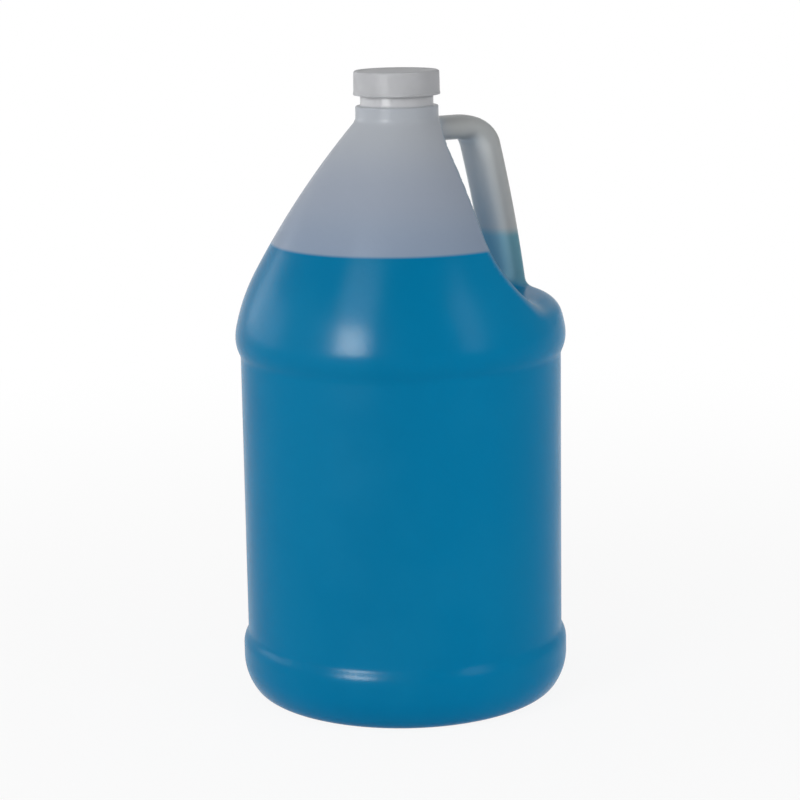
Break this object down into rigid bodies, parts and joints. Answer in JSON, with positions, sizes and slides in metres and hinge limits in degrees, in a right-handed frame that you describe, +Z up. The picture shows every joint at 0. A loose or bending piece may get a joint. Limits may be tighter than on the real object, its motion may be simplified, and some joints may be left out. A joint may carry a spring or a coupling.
{
  "type": "plastic gallon jug",
  "caption": "Round blow-moulded plastic jug with a hollow handle in its shoulder, part filled with blue liquid, with a screw cap and sealing liner.",
  "frame": {"origin": "middle of the foot, on the surface that the jug stands on", "axes": "+Z up along the jug's axis, +X towards the handle, +Y across the handle"},
  "size_m": [0.1586, 0.1586, 0.3013],
  "materials": {
    "milky_plastic": "natural milky translucent blow-moulded plastic, soft satin",
    "liquid": "clear deep blue liquid",
    "liner_foam": "closed-cell foam sheet",
    "cap_plastic": "white moulded plastic, satin"
  },
  "bodies": {
    "jug": {"jug_body": "milky_plastic", "jug_shoulder": "milky_plastic", "jug_neck": "milky_plastic", "jug_handle": "milky_plastic", "blue_liquid": "liquid"},
    "liner": {"cap_liner": "liner_foam"},
    "cap": {"screw_cap": "cap_plastic"}
  },
  "joints": [
    {"name": "cap_lift", "type": "slide", "parent": "jug", "child": "liner", "axis": [0, 0, 1], "range_m": [0, 0.0127]},
    {"name": "cap_turn", "type": "hinge", "parent": "liner", "child": "cap", "pos_m": [0, 0, 0.295], "axis": [0, 0, 1], "range_deg": [0, 1080]}
  ],
  "couplings": [
    {"joint": "cap_lift", "follows": "cap_turn", "m_per_rad": 0.0006737}
  ]
}
